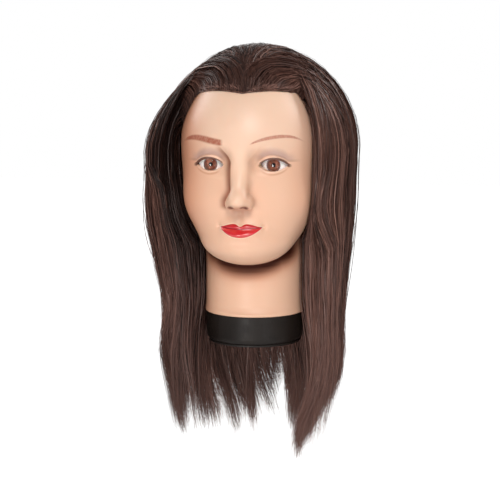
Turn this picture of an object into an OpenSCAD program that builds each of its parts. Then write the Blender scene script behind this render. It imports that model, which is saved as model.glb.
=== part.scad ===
// Mannequin training head: a vinyl head filled with foam, with rooted hair, inset acrylic eyes
// and a moulded neck base that takes a clamp post. Millimetres, +Z up, the face looks along -Y.
// The origin is the centre of the clamp socket's mouth, on the underside of the neck base.
// Left and right are the mannequin's own: its left side is +X.

/* [Head] */
// Height of the top of the scalp above the base's underside
scalp_top = 279; // [272:1:286]
// Half width of the cranium
cranium_rx = 72; // [68:1:75]
// Half length of the cranium, front to back
cranium_ry = 91; // [88:1:94]
// Height of the eyes above the base's underside
eye_z = 180; // [174:1:184]
// Wall of the vinyl skin
skin_wall = 4; // [3:0.5:5]

/* [Neck base] */
// Radius of the base's side wall
base_r = 48; // [46:0.5:50]
// Height of the base that shows below the skin
base_h = 30; // [24:1:32]
// Wall and floor of the base moulding
base_wall = 3; // [2:0.5:4]
// Radius of the rounded lower edge
base_round = 6; // [3:0.5:8]
// Height of the spigot that the neck is glued over
spigot_h = 16; // [10:1:22]
// Number of stiffening ribs on the base's floor
rib_count = 8; // [4:1:12]

/* [Clamp socket] */
// Radius of the bore that takes the clamp post
socket_r = 15; // [12:0.5:17]
// Wall of the socket tube
socket_wall = 2.5; // [2:0.5:4]
// Length of the bore
socket_length = 82; // [70:1:90]

/* [Eyes] */
// Distance between the eye centres
eye_spacing = 60; // [60:1:65]
// Radius of the acrylic eyeball
eye_r = 13.4; // [13:0.1:13.6]
// Radius of the iris disc
iris_r = 6.5; // [5.8:0.1:6.8]

/* [Hair] */
// Gap between the skin and the hair's inner side
hair_gap = 1.5; // [1:0.1:2]
// Thickness of the hair over the top of the head
hair_top_t = 13; // [8:1:14]
// How far the tips hang below the base's underside
hair_drop = 105; // [80:5:115]

/* [Hidden] */

skin_colour = [0.93, 0.72, 0.58];
foam_colour = [0.93, 0.88, 0.72];
seal_colour = [0.85, 0.82, 0.75];
base_colour = [0.12, 0.12, 0.12];
hair_colour = [0.17, 0.11, 0.09];

// The point inside the head from which every ray reaches the skin once
core = [0, 5, 175];
cranium_rz = 82;
cranium_c = [0, 6, scalp_top - cranium_rz];
neck_r = base_r + 0.6;
eye_y = -60;
lid_t = 1.6;
spigot_r = base_r - base_wall;
glue_gap = 0.1;
root_bisect = 15;
ray_far = 170;

// Smooth union of two distances, blended over k
function blend(a, b, k) =
    let (h = max(k - abs(a - b), 0) / k)
    min(a, b) - h * h * k / 4;

// Distance to an ellipsoid, close enough near its surface
function ellipsoid(p, c, r) =
    let (
        q = p - c,
        k0 = norm([q.x / r.x, q.y / r.y, q.z / r.z]),
        k1 = norm([q.x / (r.x * r.x), q.y / (r.y * r.y), q.z / (r.z * r.z)])
    )
    k1 < 1e-9 ? -min(r.x, r.y, r.z) : k0 * (k0 - 1) / k1;

// Distance to a round rod whose radius changes from ra to rb
function rod(p, a, b, ra, rb) =
    let (t = min(1, max(0, (p - a) * (b - a) / ((b - a) * (b - a)))))
    norm(p - a - t * (b - a)) - (ra + t * (rb - ra));

// One distance with another taken out of it, the edge rounded over k
function carve(a, b, k) = -blend(-a, b, k);

// Distance to the head; the left half stands for both sides. Without its features it is the
// smooth form that the inside of the skin follows
function head(q, features = true) =
    let (
        p = [abs(q.x), q.y, q.z],
        cranium = ellipsoid(p, cranium_c, [cranium_rx, cranium_ry, cranium_rz]),
        brow = ellipsoid(p, [0, -22, eye_z + 12], [60, 60, 66]),
        jaw = ellipsoid(p, [0, -26, 136.5], [58.5, 50, 52]),
        chin = ellipsoid(p, [0, -51, 104], [40, 34, 23]),
        cheek = ellipsoid(p, [33, -46, 150], [24, 24, 26]),
        neck = norm([p.x, p.y]) - neck_r,
        nose = rod(p, [0, -76.5, 191], [0, -91, 151.5], 6.6, 7.4),
        tip = ellipsoid(p, [0, -94, 147.5], [8.4, 8.6, 7.2]),
        wing = ellipsoid(p, [9, -86, 144.5], [5, 8.5, 5.6]),
        socket = ellipsoid(p, [22, -88, eye_z + 4], [13.5, 12, 11]),
        lid = norm(p - [eye_spacing / 2, eye_y, eye_z]) - eye_r - lid_t,
        upper_lip = ellipsoid(p, [0, -78, 124], [19, 9, 4]),
        lower_lip = ellipsoid(p, [0, -78, 116.5], [16, 9.5, 5]),
        ear = ellipsoid(p, [66, 12, 170], [6, 15, 26]),
        face = blend(blend(blend(brow, jaw, 30), chin, 18), cheek, 20),
        skull = blend(blend(cranium, face, 16), max(neck, p.z - 150), 4),
        plain = carve(skull, socket, 8),
        nosed = blend(blend(blend(plain, nose, 9), tip, 8), wing, 5.5),
        lipped = blend(blend(nosed, upper_lip, 5), lower_lip, 5)
    )
    features ? blend(blend(lipped, lid, 2.5), ear, 5) : plain;

// Distance along a ray from o towards d to the head's surface, or to the layer inset below it
function reach(o, d, features = true, inset = 0, lo = 20, hi = ray_far, n = root_bisect) =
    n == 0 ? (lo + hi) / 2
    : let (mid = (lo + hi) / 2)
        head(o + mid * d, features) + inset > 0
        ? reach(o, d, features, inset, lo, mid, n - 1)
        : reach(o, d, features, inset, mid, hi, n - 1);

// Direction at an angle round from the face and an angle above the horizon
function aim(az, el) = [cos(el) * sin(az), -cos(el) * cos(az), sin(el)];

// A closed skin over rings of points from the bottom ring to a point at the top
function cap_faces(n, m, from) = [
    for (j = [0 : m - 2]) for (i = [0 : n - 1])
        let (a = from + j * n + i, b = from + j * n + (i + 1) % n)
        each [[a, a + n, b], [b, a + n, b + n]],
    for (i = [0 : n - 1]) [from + (m - 1) * n + i, from + m * n, from + (m - 1) * n + (i + 1) % n]
];

// Angle round the head of point i of n, closer together over the face than at the back
face_crowding = 42;
function ring_az(i, n) = let (t = 360 * i / n) t - face_crowding * sin(t);

// Angle above the horizon of ring j of m, closer together from the chin to the eyes
lowest_el = -atan((core.z - base_h - spigot_h) / neck_r);
ring_els = [[0, lowest_el], [0.16, -50], [0.62, 0], [0.8, 40], [1, 90]];
function ring_el(j, m) = lookup(j / m, ring_els);

// One ring of points on the head, or on the layer inset below it
function ring(n, el, inset, features) = [
    for (i = [0 : n - 1])
        let (d = aim(ring_az(i, n), el))
        core + reach(core, d, features, inset) * d
];

// A ring of points at a plain radius and height round the neck's axis
function neck_ring(n, r, z) = [
    for (i = [0 : n - 1]) let (az = ring_az(i, n)) [r * sin(az), -r * cos(az), z]
];

// Rings from the neck's open end up to the crown, and the point on top
function head_points(n, m, inset, r, z, features) = [
    each neck_ring(n, r, z),
    for (j = [1 : m - 1]) each ring(n, ring_el(j, m), inset, features),
    core + [0, 0, reach(core, [0, 0, 1], features, inset)]
];

module head_solid(n, m, inset, r, z, features = false) {
    points = head_points(n, m, inset, r, z, features);
    polyhedron(points, [each cap_faces(n, m, 0), [for (i = [0 : n - 1]) i]], convexity = 6);
}

// Everything inside the skin has this form, so that the layers lie parallel
module inside_solid(inset) head_solid(26, 30, inset, spigot_r + glue_gap, base_h - 1);

// The opening between the lids: a lens of two arcs, cut straight in
module lid_opening(side) {
    half_w = 13.5;
    half_h = 6;
    arc_r = (half_w * half_w + half_h * half_h) / (2 * half_h);
    translate([side * eye_spacing / 2, eye_y - 4, eye_z]) rotate([90, 0, 0])
        linear_extrude(40) intersection() {
            translate([0, half_h - arc_r]) circle(arc_r, $fn = 90);
            translate([0, arc_r - half_h]) circle(arc_r, $fn = 90);
        }
}

module head_skin() color(skin_colour) difference() {
    head_solid(64, 68, 0, neck_r + 0.8, base_h, true);
    inside_solid(skin_wall);
    for (side = [-1, 1]) {
        lid_opening(side);
        translate([side * eye_spacing / 2, eye_y, eye_z]) sphere(eye_r + glue_gap, $fn = 40);
    }
}

// Glue brushed over the hair roots inside the scalp, from out to in below the skin's outer face
seal_t = 1.5;
seal_low = 190;
seal_front_low = 232;
module seal_layer(out, in) difference() {
    inside_solid(out);
    inside_solid(in);
    translate([-100, -150, 0]) cube([200, 300, seal_low]);
    translate([-100, -150, 0]) cube([200, 100, seal_front_low]);
}

module root_seal() color(seal_colour) seal_layer(skin_wall + glue_gap, skin_wall + glue_gap + seal_t);

// The foam fills the skin, the glue layer's underside and the base down to its ribs
foam_gap = 0.2;
// The foam stops this far from an eyeball
socket_room = 4.5;
module foam_core() color(foam_colour) difference() {
    union() {
        difference() {
            inside_solid(skin_wall + foam_gap);
            translate([-100, -100, 0]) cube([200, 200, base_h + spigot_h + foam_gap]);
        }
        translate([0, 0, foam_low]) cylinder(r = spigot_r - base_wall - foam_gap, h = base_h + 4, $fn = 60);
    }
    seal_layer(skin_wall - 1, skin_wall + glue_gap + seal_t + foam_gap);
    cylinder(r = socket_r + socket_wall + foam_gap, h = socket_length + cap_t + foam_gap, $fn = 60);
    for (side = [-1, 1])
        translate([side * eye_spacing / 2, eye_y, eye_z]) sphere(eye_r + socket_room, $fn = 40);
}

// Floor, lip, rounded lower edge, side wall and spigot of the base, as half its section
lip_r = base_r - base_round / 2 + 1;
lip_h = 2;
edge_chamfer = 0.4;
floor_t = base_wall;
rib_h = 12;
rib_t = 2;
foam_low = floor_t + rib_h + 1;
flange_r = 26;
flange_t = 1.5;
seam_az = 38;

module base_profile() polygon([
    [0, 0],
    [lip_r - edge_chamfer, 0],
    [lip_r, edge_chamfer],
    [lip_r, lip_h - edge_chamfer],
    [lip_r - edge_chamfer, lip_h],
    for (a = [30 : 6 : 90])
        [base_r - base_round + base_round * sin(a), lip_h + base_round * (cos(30) - cos(a))],
    [base_r, base_h - edge_chamfer],
    [base_r - edge_chamfer, base_h],
    [spigot_r, base_h],
    [spigot_r, base_h + spigot_h],
    [0, base_h + spigot_h]
]);

module neck_base() color(base_colour) {
    bore = socket_r + socket_wall + glue_gap;
    rotate_extrude($fn = 120) difference() {
        base_profile();
        translate([0, floor_t]) square([spigot_r - base_wall, base_h + spigot_h]);
        square([bore, base_h]);
        square([flange_r + glue_gap, flange_t + glue_gap]);
    }
    for (i = [0 : rib_count - 1]) rotate((i + 0.5) * 360 / rib_count)
        translate([bore + 0.9, -rib_t / 2, floor_t - 0.5])
            cube([spigot_r - base_wall - bore - 0.5, rib_t, rib_h + 0.5]);
    for (turn = [0, 180]) rotate(turn - seam_az)
        translate([-0.4, -base_r - 0.25, lip_h + base_round])
            cube([0.8, 1, base_h - lip_h - base_round - 1]);
}

module clamp_socket() color(base_colour) difference() {
    union() {
        cylinder(r = socket_r + socket_wall, h = socket_length, $fn = 90);
        cylinder(r = flange_r, h = flange_t, $fn = 90);
    }
    translate([0, 0, -1]) cylinder(r = socket_r, h = socket_length + 2, $fn = 90);
}

cap_t = 3;
module socket_cap() color(base_colour)
    translate([0, 0, socket_length]) cylinder(r = socket_r + socket_wall, h = cap_t, $fn = 90);

// The eyeball is turned about its own axis: a cup with a pocket in front for the iris and cornea
pocket_y = eye_r - 2.2;
cup_wall = 2.4;
iris_t = 0.6;
cornea_bulge = 0.8;
arc_steps = 12;

// Points on a circle of radius r round [0, rise], from angle a to angle b off the eye's axis
function eye_arc(r, rise, a, b) = [
    for (i = [0 : arc_steps])
        let (t = a + (b - a) * i / arc_steps)
        [r * sin(t), rise + r * cos(t)]
];

// Places a turned eye piece in its socket, looking along -Y
module in_socket(side) translate([side * eye_spacing / 2, eye_y, eye_z]) rotate([90, 0, 0])
    rotate_extrude($fn = 72) children();

module eye_white(side) color("white") in_socket(side) {
    pocket_edge = asin((iris_r + 0.05) / eye_r);
    inner_r = eye_r - cup_wall;
    polygon([
        each eye_arc(eye_r, 0, pocket_edge, 104),
        each eye_arc(inner_r, 0, 104, asin(iris_r / inner_r)),
        [iris_r - 1, pocket_y - 0.6],
        [iris_r - 1, pocket_y],
        [iris_r + 0.05, pocket_y]
    ]);
}

module iris(side) color([0.45, 0.2, 0.13]) in_socket(side) translate([0, pocket_y]) square([iris_r, iris_t]);

module cornea(side) color([0.9, 0.95, 1, 0.35]) in_socket(side) polygon([
    [0, pocket_y + iris_t],
    each eye_arc(eye_r, cornea_bulge, 0, asin(iris_r / eye_r)),
    [iris_r, pocket_y + iris_t]
]);

// Half width of the hair at heights from the tips up to the eyes, at the sides and at the back
side_hair = [[-105, 62], [-60, 84], [-10, 92], [45, 90], [100, 99], [150, 104], [175, 104]];
back_hair = [[-105, 70], [-60, 80], [-10, 86], [45, 92], [100, 102], [150, 109], [175, 110]];
front_edge_az = 58;
side_edge_az = 102;
crown_el = 72;
side_gap_az = 0.4;

lift_el = 16;
tip_parting_az = 14;

// A smooth step from 0 to 1
function ramp(t) = let (u = min(1, max(0, t))) u * u * (3 - 2 * u);

// Distance from the core's axis to the hair's outer face, at an angle round and a height
function hair_r(az, z) =
    let (t = ramp((abs(az) - 70) / 80))
    lookup(z, side_hair) * (1 - t) + lookup(z, back_hair) * t;

// Hair thickness above the eyes: thin at the hairline and on top, reaching the falling hair's
// at the sides
function cap_hair_t(az, el) =
    let (
        full = hair_r(az, core.z) - reach(core, aim(az, 0)),
        side = ramp((abs(az) - 20) / 40),
        lift = abs(az) > front_edge_az ? 1 : 0.25 + 0.75 * ramp((el - hairline_el(az)) / lift_el)
    )
    (hair_top_t + (full - hair_top_t) * side * pow(cos(el), 1.6)) * lift;

// Where the hairline lies: high over the forehead, dipping at its middle, low at the temples
function hairline_el(az) =
    44 + 3.5 * sin(min(90, abs(az) * 2.4)) - 24 * ramp((abs(az) - 46) / 14);

// Two points, on the hair's inner and outer face, at a step s down from the crown:
// s from 0 to 1 goes round the head to the eyes' height, and from 1 to 2 straight down
function hair_pair(az, s, top_el, low_el, inner, outer) =
    s <= 1
    ? let (el = top_el + (low_el - top_el) * s, d = aim(az, el), r = reach(core, d))
        let (in = r + hair_gap, out = r + cap_hair_t(az, el))
        [core + (in + (out - in) * inner) * d, core + (in + (out - in) * outer) * d]
    : let (
            z = core.z - (s - 1) * (core.z + hair_drop),
            o = [core.x, core.y, z],
            d = aim(az, 0),
            skin = z < base_h + 60 ? neck_side(az) : max(neck_side(az), reach(o, d, hi = 130)),
            in = skin + hair_gap + 6 * ramp((60 - z) / 60),
            out = hair_r(az, z)
        )
        [o + (in + (out - in) * inner) * d, o + (in + (out - in) * outer) * d];

// Distance from the core's axis to the neck, whose own axis is core.y nearer the face
function neck_side(az) = neck_r + 2 + core.y * cos(az);

// A patch of hair: a closed block between an inner and an outer grid of points. Its far edge
// draws back by the angle parting towards the tips
module hair_patch(az0, az1, s0, s1, n, m, low_el = 0, inner = 0, outer = 1, parting = 0) {
    pairs = [
        for (j = [0 : m]) for (i = [0 : n])
            let (
                s = s0 + (s1 - s0) * j / m,
                az = az0 + (az1 - az0 - parting * ramp((s - 1.5) / 0.5)) * i / n,
                low = is_undef(low_el) ? hairline_el(az) : low_el
            )
            hair_pair(az, s, crown_el, low, inner, outer)
    ];
    count = (n + 1) * (m + 1);
    row = n + 1;
    points = [for (p = pairs) p[0], for (p = pairs) p[1]];
    grid = [for (j = [0 : m - 1]) for (i = [0 : n - 1]) j * row + i];
    bottom = m * row;
    faces = [
        for (a = grid) each [[a, a + 1, a + row], [a + 1, a + row + 1, a + row]],
        for (b = grid) let (a = b + count) each [[a, a + row, a + 1], [a + 1, a + row, a + row + 1]],
        for (i = [0 : n - 1]) each [
            [i, i + count, i + 1], [i + 1, i + count, i + count + 1],
            [bottom + i, bottom + i + 1, bottom + i + count],
            [bottom + i + 1, bottom + i + count + 1, bottom + i + count]
        ],
        for (j = [0 : m - 1]) let (a = j * row, b = j * row + n) each [
            [a, a + row, a + count], [a + row, a + row + count, a + count],
            [b, b + count, b + row], [b + row, b + count, b + row + count]
        ]
    ];
    polyhedron(points, faces, convexity = 6);
}

// Patches are drawn for the left side; the right side is its mirror image
module on_side(side) color(hair_colour) mirror([side < 0 ? 1 : 0, 0, 0]) children();

// The finer hair along the hairline, in front of the long hair
row_s = 0.93;
module hairline_row() color(hair_colour)
    hair_patch(-front_edge_az, front_edge_az, row_s + 0.01, 1, 20, 2, low_el = undef, outer = 0.6);

module hair_front(side) on_side(side)
    hair_patch(side_gap_az, front_edge_az, 0, row_s, 8, 10, low_el = undef);

module hair_side(side) on_side(side)
    hair_patch(front_edge_az + side_gap_az, side_edge_az, 0, 2, 5, 24);

module hair_back(side) on_side(side)
    hair_patch(
        side_edge_az + side_gap_az, 180 - side_gap_az, 0, 2, 6, 24,
        inner = 0.45, parting = tip_parting_az
    );

// The hair rooted low on the back of the head, which hangs inside the back's fall
module hair_nape(side) on_side(side)
    hair_patch(
        side_edge_az + side_gap_az, 180 - side_gap_az, 1.1, 1.95, 6, 14,
        outer = 0.42, parting = tip_parting_az
    );

// The crown is a shallow dome over the whorl: a middle point and three rings
crown_n = 32;
crown_rings = [for (j = [1 : 3]) 90 - (90 - crown_el - 0.5) * j / 3];

function crown_level(t) = [
    core + (reach(core, [0, 0, 1]) + t * hair_top_t + (1 - t) * hair_gap) * [0, 0, 1],
    for (el = crown_rings) for (i = [0 : crown_n - 1])
        let (az = 360 * i / crown_n, d = aim(az, el), r = reach(core, d))
        core + (r + t * cap_hair_t(az > 180 ? az - 360 : az, el) + (1 - t) * hair_gap) * d
];

function crown_disc(from) = [
    for (i = [0 : crown_n - 1]) [from, from + 1 + i, from + 1 + (i + 1) % crown_n],
    for (j = [0, 1]) for (i = [0 : crown_n - 1])
        let (a = from + 1 + j * crown_n + i, b = from + 1 + j * crown_n + (i + 1) % crown_n)
        each [[a, a + crown_n, b], [b, a + crown_n, b + crown_n]]
];

module hair_crown() color(hair_colour) {
    count = 1 + 3 * crown_n;
    edge = [
        for (i = [0 : crown_n - 1])
            let (a = 1 + 2 * crown_n + i, b = 1 + 2 * crown_n + (i + 1) % crown_n)
            each [[a, a + count, b], [b, a + count, b + count]]
    ];
    flipped = [for (f = crown_disc(count)) [f[0], f[2], f[1]]];
    polyhedron([each crown_level(0), each crown_level(1)], [each crown_disc(0), each edge, each flipped]);
}

head_skin();
foam_core();
root_seal();
neck_base();
clamp_socket();
socket_cap();
eye_white(1);  // left_eye_white
iris(1);  // left_iris
cornea(1);  // left_cornea
eye_white(-1);  // right_eye_white
iris(-1);  // right_iris
cornea(-1);  // right_cornea
hairline_row();
hair_front(1);  // hair_front_left
hair_front(-1);  // hair_front_right
hair_crown();
hair_side(1);  // hair_side_left
hair_side(-1);  // hair_side_right
hair_back(1);  // hair_back_left
hair_back(-1);  // hair_back_right
hair_nape(1);  // hair_nape_left
hair_nape(-1);  // hair_nape_right
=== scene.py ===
"""Looks of a mannequin training head: vinyl skin with painted make-up, acrylic eyes, rooted hair
and a moulded neck base. Lengths are in millimetres until a mesh is made, which is in metres."""

import bpy
import numpy as np
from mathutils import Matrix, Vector


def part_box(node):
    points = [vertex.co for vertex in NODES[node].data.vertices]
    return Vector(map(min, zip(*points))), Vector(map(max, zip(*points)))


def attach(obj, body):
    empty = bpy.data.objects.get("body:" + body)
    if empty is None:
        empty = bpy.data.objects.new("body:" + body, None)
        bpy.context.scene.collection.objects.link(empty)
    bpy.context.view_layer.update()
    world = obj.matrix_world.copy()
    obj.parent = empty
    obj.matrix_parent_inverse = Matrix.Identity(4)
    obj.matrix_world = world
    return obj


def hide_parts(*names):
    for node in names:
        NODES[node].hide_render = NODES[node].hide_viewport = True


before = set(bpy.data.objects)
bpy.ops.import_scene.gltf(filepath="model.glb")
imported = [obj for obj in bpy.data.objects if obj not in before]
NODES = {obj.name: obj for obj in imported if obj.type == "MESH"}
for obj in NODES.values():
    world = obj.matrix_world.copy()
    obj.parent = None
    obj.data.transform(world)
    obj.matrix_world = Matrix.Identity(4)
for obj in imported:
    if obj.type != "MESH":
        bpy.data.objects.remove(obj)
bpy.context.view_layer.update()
MM = 0.001
deg = np.radians
SIDES = (1, "left"), (-1, "right")


def node_box(name):
    """Lowest and highest corner of a CAD node, in millimetres."""
    low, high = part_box(name)
    return np.array(low) / MM, np.array(high) / MM


# Places worked out from the frame
BASE_HIGH = node_box("neck_base")[1]
EYE_LOW, EYE_HIGH = node_box("left_eye_white")
SKIN_LOW, SKIN_HIGH = node_box("head_skin")
CORNEA_LOW, CORNEA_HIGH = node_box("left_cornea")
BASE_R = BASE_HIGH[0]
# The neck's skin stands a little proud of the base
NECK_R = BASE_R + 0.6
EYE_R = (EYE_HIGH[0] - EYE_LOW[0]) / 2
# How far a cornea stands out from its eyeball
CORNEA_BULGE = 0.8
# Centre of the left eyeball. The right one mirrors it.
EYE = np.array([
    (EYE_HIGH[0] + EYE_LOW[0]) / 2,
    CORNEA_LOW[1] + EYE_R + CORNEA_BULGE,
    (EYE_HIGH[2] + EYE_LOW[2]) / 2,
])
IRIS_R = (CORNEA_HIGH[0] - CORNEA_LOW[0]) / 2
SCALP_TOP = SKIN_HIGH[2]
SKIN_EDGE = SKIN_LOW[2]
# Point inside the skull that angles round and up are measured from
CORE = np.array([0.0, 5.0, 175.0])


# ------------ camera, light and floor

def add_object(name, data, spot=(0, 0, 0), way=None):
    """Puts data in the scene at a spot, in metres, with its -Z axis turned to a way."""
    made = bpy.data.objects.new(name, data)
    made.location = spot
    if way is not None:
        made.rotation_euler = way.to_track_quat("-Z", "Y").to_euler()
    bpy.context.scene.collection.objects.link(made)
    return made


def place_camera():
    """A long lens in front of the face, a little to the mannequin's left and above."""
    target = Vector((-4.85, -0.7, 89.0)) * MM
    back = Vector(aim(deg(10.0), deg(8.2)))
    distance = 1.515
    data = bpy.data.cameras.new("camera")
    data.lens = 110
    bpy.context.scene.camera = add_object("camera", data, target + back * distance, -back)


def area_light(name, spot, target, size, watts, tint=(1, 1, 1)):
    """A round soft lamp at a spot, turned to a target, both in metres."""
    data = bpy.data.lights.new(name, "AREA")
    data.shape = "DISK"
    data.size = size
    data.energy = watts
    data.color = tint
    add_object(name, data, spot, Vector(target) - Vector(spot))


def light_scene():
    """Soft studio light, mostly from above and in front, and a white room behind."""
    face = (0, -0.05, 0.16)
    area_light("key", (0.22, -1.3, 1.0), face, 0.45, 10.6, (1, 0.98, 0.965))
    area_light("front", (-0.25, -1.38, 0.0), face, 0.36, 5.5, (1, 0.98, 0.96))
    area_light("rim_left", (-0.9, 0.4, 0.7), face, 0.6, 4)
    area_light("rim_right", (0.9, 0.4, 0.8), face, 0.6, 6)
    area_light("back", (0, 1.3, 0.6), face, 0.8, 3)
    area_light("low", (0.7, -1.0, -0.1), (0, 0, -0.02), 0.5, 1.4)
    world = bpy.data.worlds.new("studio")
    world.use_nodes = True
    tree = world.node_tree
    background = tree.nodes["Background"]
    background.inputs["Color"].default_value = (1, 1, 1, 1)
    seen = tree.nodes.new("ShaderNodeLightPath").outputs["Is Camera Ray"]
    strength = tree.nodes.new("ShaderNodeMapRange")
    strength.inputs["To Min"].default_value = 0.2
    tree.links.new(seen, strength.inputs["Value"])
    tree.links.new(strength.outputs[0], background.inputs["Strength"])
    bpy.context.scene.world = world
    bpy.context.scene.view_settings.view_transform = "Standard"


def lay_floor():
    """A wide floor well below the hair, which looks as white as the room."""
    far, height = 6000, -450
    corners = [(-far, -far, height), (far, -far, height), (far, far, height), (-far, far, height)]
    floor = mesh_object("floor", corners, [(0, 1, 2, 3)])
    s = Shader("floor_paper")
    seen = s.node("LightPath").outputs["Is Camera Ray"]
    s.principled(Base_Color=grey(0.9), Roughness=0.9, Emission_Color=grey(1), Emission_Strength=seen)
    floor.data.materials.append(s.material)


# ------------ material helpers

class Shader:
    """A short way to build a node material. Its calls add nodes and return a socket."""

    def __init__(self, name):
        self.material = bpy.data.materials.new(name)
        self.material.use_nodes = True
        self.tree = self.material.node_tree
        self.bsdf = self.tree.nodes["Principled BSDF"]

    def node(self, kind, inputs=(), **settings):
        """Adds a node, by the end of its type's name, and returns the node itself."""
        made = self.tree.nodes.new("ShaderNode" + kind)
        for key, value in settings.items():
            setattr(made, key, value)
        for key, value in dict(inputs).items():
            self.feed(made.inputs[key], value)
        return made

    def feed(self, socket, value):
        """Links a socket to another one, or sets its value."""
        if isinstance(value, bpy.types.NodeSocket):
            self.tree.links.new(value, socket)
        else:
            socket.default_value = value

    def principled(self, **inputs):
        """Feeds the Principled BSDF. An input's name has _ for each space."""
        for key, value in inputs.items():
            self.feed(self.bsdf.inputs[key.replace("_", " ")], value)

    def stored(self, *names):
        """Numbers stored on the mesh's points."""
        return [self.node("Attribute", attribute_name=name).outputs["Fac"] for name in names]

    def math(self, operation, a, b=0.0):
        return self.node("Math", {0: a, 1: b}, operation=operation).outputs[0]

    def times(self, first, *others):
        """The product of all its arguments."""
        for other in others:
            first = self.math("MULTIPLY", first, other)
        return first

    def size(self, value):
        """A number without its sign."""
        return self.math("ABSOLUTE", value)

    def vector(self, operation, a, b=(0, 0, 0), out="Vector"):
        return self.node("VectorMath", {0: a, 1: b}, operation=operation).outputs[out]

    def step(self, value, low, high, out_low=0.0, out_high=1.0):
        """A smooth change from out_low at low to out_high at high."""
        made = self.node("MapRange", {"Value": value, "From Min": low, "From Max": high,
                                      "To Min": out_low, "To Max": out_high})
        made.interpolation_type = "SMOOTHSTEP"
        return made.outputs[0]

    def band(self, value, start, low, high, end):
        """1 from low to high, falling smoothly to 0 at start and end."""
        return self.times(self.step(value, start, low), self.step(value, end, high))

    def mix(self, fac, a, b):
        """Colour a where fac is 0 and colour b where it is 1."""
        made = self.node("Mix", data_type="RGBA")
        self.feed(made.inputs[0], fac)
        self.feed(made.inputs[6], a)
        self.feed(made.inputs[7], b)
        return made.outputs[2]

    def paint(self, colour, tint, *masks):
        """Puts a tint over a colour where the product of the masks is high."""
        return self.mix(self.times(*masks), colour, tint)

    def noise(self, scale, detail=2.0, stretch=(1, 1, 1), vector=None):
        """Cloudy noise over the object, in metres, or over another vector."""
        if vector is None:
            vector = self.node("TexCoord").outputs["Object"]
        mapped = self.node("Mapping", {"Vector": vector, "Scale": stretch}).outputs[0]
        return self.node("TexNoise", {"Vector": mapped, "Scale": scale, "Detail": detail}).outputs["Fac"]

    def bump(self, height, strength, distance):
        """A bumpy normal."""
        made = self.node("Bump", {"Height": height, "Strength": strength, "Distance": distance})
        return made.outputs["Normal"]


def rgb(r, g, b):
    """A screen colour, 0 to 255, as the linear colour that materials take."""
    screen = [c / 255 for c in (r, g, b)]
    return (*[c / 12.92 if c <= 0.04045 else ((c + 0.055) / 1.055) ** 2.4 for c in screen], 1.0)


def grey(value):
    """A linear grey."""
    return (value, value, value, 1.0)


# ------------ the head's form

def blend(a, b, k):
    """Joins two distances, with the corner between them filled over k."""
    h = np.maximum(k - np.abs(a - b), 0) / k
    return np.minimum(a, b) - h * h * k / 4


def ellipsoid(p, centre, radii):
    """Distance to an ellipsoid, true only near its surface."""
    q = p - np.array(centre, float)
    r = np.array(radii, float)
    k0 = np.sqrt(((q / r) ** 2).sum(-1))
    k1 = np.sqrt(((q / r ** 2) ** 2).sum(-1))
    return k0 * (k0 - 1) / np.maximum(k1, 1e-9)


def rod(p, a, b, ra, rb):
    """Distance to a rod from a to b whose radius changes from ra to rb."""
    a, b = np.array(a, float), np.array(b, float)
    t = np.clip(((p - a) @ (b - a)) / ((b - a) @ (b - a)), 0, 1)
    return np.linalg.norm(p - a - t[..., None] * (b - a), axis=-1) - (ra + t * (rb - ra))


# Centre and half sizes of the jaw and the chin
JAW = [0, -26, 136.5], [58.5, 50, 52]
CHIN = [0, -51, 106], [40, 34, 22.5]


def head_distance(q):
    """Distance to the head's skin. The left half stands for both sides."""
    p = np.concatenate([np.abs(q[..., :1]), q[..., 1:]], -1)
    ez = EYE[2]
    cranium = ellipsoid(p, [0, 6, SCALP_TOP - 82], [72, 91, 82])
    brow = ellipsoid(p, [0, -22, ez + 12], [60, 60, 66])
    jaw = ellipsoid(p, *JAW)
    chin = ellipsoid(p, *CHIN)
    cheek = ellipsoid(p, [33, -46, 150], [24, 24, 26])
    neck = np.hypot(p[..., 0], p[..., 1]) - NECK_R
    face = blend(blend(blend(brow, jaw, 30), chin, 18), cheek, 20)
    skull = blend(blend(cranium, face, 16), np.maximum(neck, p[..., 2] - 150), 4)
    nose = rod(p, [0, -76.5, 191], [0, -91, 151.5], 6.6, 7.4)
    tip = ellipsoid(p, [0, -94, 147.5], [8.4, 8.6, 7.2])
    wing = ellipsoid(p, [8.6, -86, 144.5], [4.6, 8.5, 5.4])
    socket = ellipsoid(p, [22, -88, ez + 4], [13.5, 12, 11])
    lid = ellipsoid(p, EYE, [EYE_R + 1.6] * 3)
    ear = ellipsoid(p, [66, 12, 170], [6, 15, 26])
    # taken out of the skull, with a rounded edge
    carved = -blend(-skull, socket, 8)
    nosed = blend(blend(blend(carved, nose, 9), tip, 8), wing, 5.5)
    return blend(blend(nosed, lid, 2.5), ear, 5)


def reach(origin, direction, distance, low=15.0, high=175.0, steps=17):
    """Distance along each ray at which the surface is met."""
    low = np.full(direction.shape[:-1], low)
    high = np.full(direction.shape[:-1], high)
    for _ in range(steps):
        middle = (low + high) / 2
        outside = distance(origin + middle[..., None] * direction) > 0
        high = np.where(outside, middle, high)
        low = np.where(outside, low, middle)
    return (low + high) / 2


def aim(az, el):
    """Direction at an angle round from the face, to the left, and an angle up."""
    az, el = np.broadcast_arrays(az, el)
    return np.stack([np.cos(el) * np.sin(az), -np.cos(el) * np.cos(az), np.sin(el)], -1)


def smooth(t):
    """0 below 0, 1 above 1 and a smooth change between."""
    t = np.clip(t, 0, 1)
    return t * t * (3 - 2 * t)


def gauss(t):
    """1 at 0, falling smoothly to nothing at about 2 on either side."""
    return np.exp(-t * t)


def spaced(start, stop, spacing):
    """Angles from start to stop whose spacing follows a function of the angle."""
    made = [start]
    while made[-1] < stop:
        made.append(made[-1] + spacing(made[-1]))
    return start + (np.array(made) - start) * (stop - start) / (made[-1] - start)


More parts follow.
